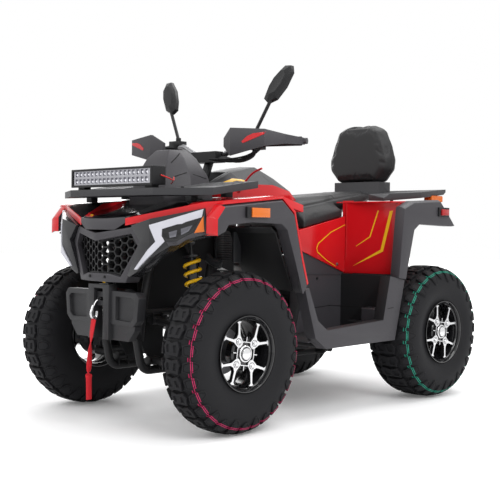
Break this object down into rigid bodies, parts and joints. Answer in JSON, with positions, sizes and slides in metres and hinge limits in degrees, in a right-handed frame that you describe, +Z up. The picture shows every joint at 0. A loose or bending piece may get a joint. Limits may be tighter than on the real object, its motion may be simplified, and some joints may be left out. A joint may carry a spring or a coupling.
{
  "type": "quad bike",
  "caption": "Utility quad bike with steered front wheels on wishbones, a rail rear axle on a swingarm, two racks, a winch, a backrest and moulded bodywork.",
  "frame": {"origin": "on the ground, midway between the two axles and on the centre plane", "axes": "+Z up, front towards -Y, the rider's left is +X"},
  "size_m": [1.072, 1.831, 1.3761],
  "materials": {
    "tyre": "matte, with light pigment wear",
    "wheel_black": "gloss black with machined spokes",
    "machined_steel": "machined",
    "forged_alloy": "as forged",
    "frame_paint": "satin black",
    "spring_paint": "gloss yellow",
    "engine_alloy": "cast",
    "exhaust_steel": "brushed",
    "red_plastic": "gloss red",
    "grey_plastic": "satin grey",
    "black_plastic": "fine grain",
    "gloss_black": "gloss",
    "seat_vinyl": "soft vinyl",
    "lamp_clear": "clear lens",
    "amber": "amber lens",
    "red_lens": "red lens",
    "bar_alloy": "satin",
    "grip_rubber": "matte",
    "red_webbing": "woven"
  },
  "bodies": {
    "chassis": {"backrest_pad": "seat_vinyl", "dampers": "frame_paint", "engine": "engine_alloy", "exhaust": "exhaust_steel", "flares_front": "grey_plastic", "flares_rear": "grey_plastic", "footwells": "grey_plastic", "frame": "frame_paint", "frame_ties": "frame_paint", "front_fenders": "red_plastic", "front_guard": "frame_paint", "front_rack": "black_plastic", "grille": "black_plastic", "grille_surround": "grey_plastic", "headlamps": "lamp_clear", "inner_arches": "black_plastic", "instrument_cowl": "grey_plastic", "lamps_red": "red_lens", "light_bar": "black_plastic", "markers_amber": "amber", "nose_cowl": "gloss_black", "rear_fenders": "red_plastic", "rear_rack": "black_plastic", "seat": "seat_vinyl", "side_covers": "red_plastic", "springs": "spring_paint", "swingarm": "frame_paint", "tank_cover": "grey_plastic", "tether": "red_webbing", "winch": "frame_paint", "winch_hook": "machined_steel", "winch_strap": "red_webbing", "wishbones": "frame_paint"},
    "steering": {"handlebar": "bar_alloy", "grips": "grip_rubber", "controls": "black_plastic", "hand_guards": "grey_plastic", "mirrors": "black_plastic", "cables": "grip_rubber"},
    "tie_left": {"tie_rod_left": "frame_paint"},
    "tie_right": {"tie_rod_right": "frame_paint"},
    "knuckle_left": {"knuckle_left": "forged_alloy"},
    "knuckle_right": {"knuckle_right": "forged_alloy"},
    "wheel_front_left": {"tyre_front_left": "tyre", "rim_front_left": "wheel_black", "hub_front_left": "machined_steel"},
    "wheel_front_right": {"tyre_front_right": "tyre", "rim_front_right": "wheel_black", "hub_front_right": "machined_steel"},
    "wheels_rear": {"rear_axle": "machined_steel", "tyres_rear": "tyre", "rims_rear": "wheel_black"}
  },
  "joints": [
    {"name": "steering_turn", "type": "hinge", "parent": "chassis", "child": "steering", "pos_m": [0, -0.32, 1.03], "axis": [0, 0.3659, 0.9307], "range_deg": [-40, 40]},
    {"name": "rear_axle_spin", "type": "hinge", "parent": "chassis", "child": "wheels_rear", "pos_m": [0, 0.611, 0.292], "axis": [1, 0, 0], "continuous": true},
    {"name": "kingpin_left", "type": "hinge", "parent": "chassis", "child": "knuckle_left", "pos_m": [0.35, -0.611, 0.292], "axis": [0, 0, 1], "range_deg": [-28, 28]},
    {"name": "tie_pivot_left", "type": "hinge", "parent": "steering", "child": "tie_left", "pos_m": [0, -0.56977, 0.28536], "axis": [0, 0.3659, 0.9307], "range_deg": [-40, 40]},
    {"name": "wheel_spin_left", "type": "hinge", "parent": "knuckle_left", "child": "wheel_front_left", "pos_m": [0.4335, -0.611, 0.292], "axis": [1, 0, 0], "continuous": true},
    {"name": "kingpin_right", "type": "hinge", "parent": "chassis", "child": "knuckle_right", "pos_m": [-0.35, -0.611, 0.292], "axis": [0, 0, 1], "range_deg": [-28, 28]},
    {"name": "tie_pivot_right", "type": "hinge", "parent": "steering", "child": "tie_right", "pos_m": [0, -0.56977, 0.28536], "axis": [0, 0.3659, 0.9307], "range_deg": [-40, 40]},
    {"name": "wheel_spin_right", "type": "hinge", "parent": "knuckle_right", "child": "wheel_front_right", "pos_m": [-0.4335, -0.611, 0.292], "axis": [1, 0, 0], "continuous": true}
  ],
  "couplings": [
    {"joint": "kingpin_left", "follows": "steering_turn", "ratio": 0.7},
    {"joint": "tie_pivot_left", "follows": "steering_turn", "ratio": -1},
    {"joint": "kingpin_right", "follows": "steering_turn", "ratio": 0.7},
    {"joint": "tie_pivot_right", "follows": "steering_turn", "ratio": -1}
  ]
}
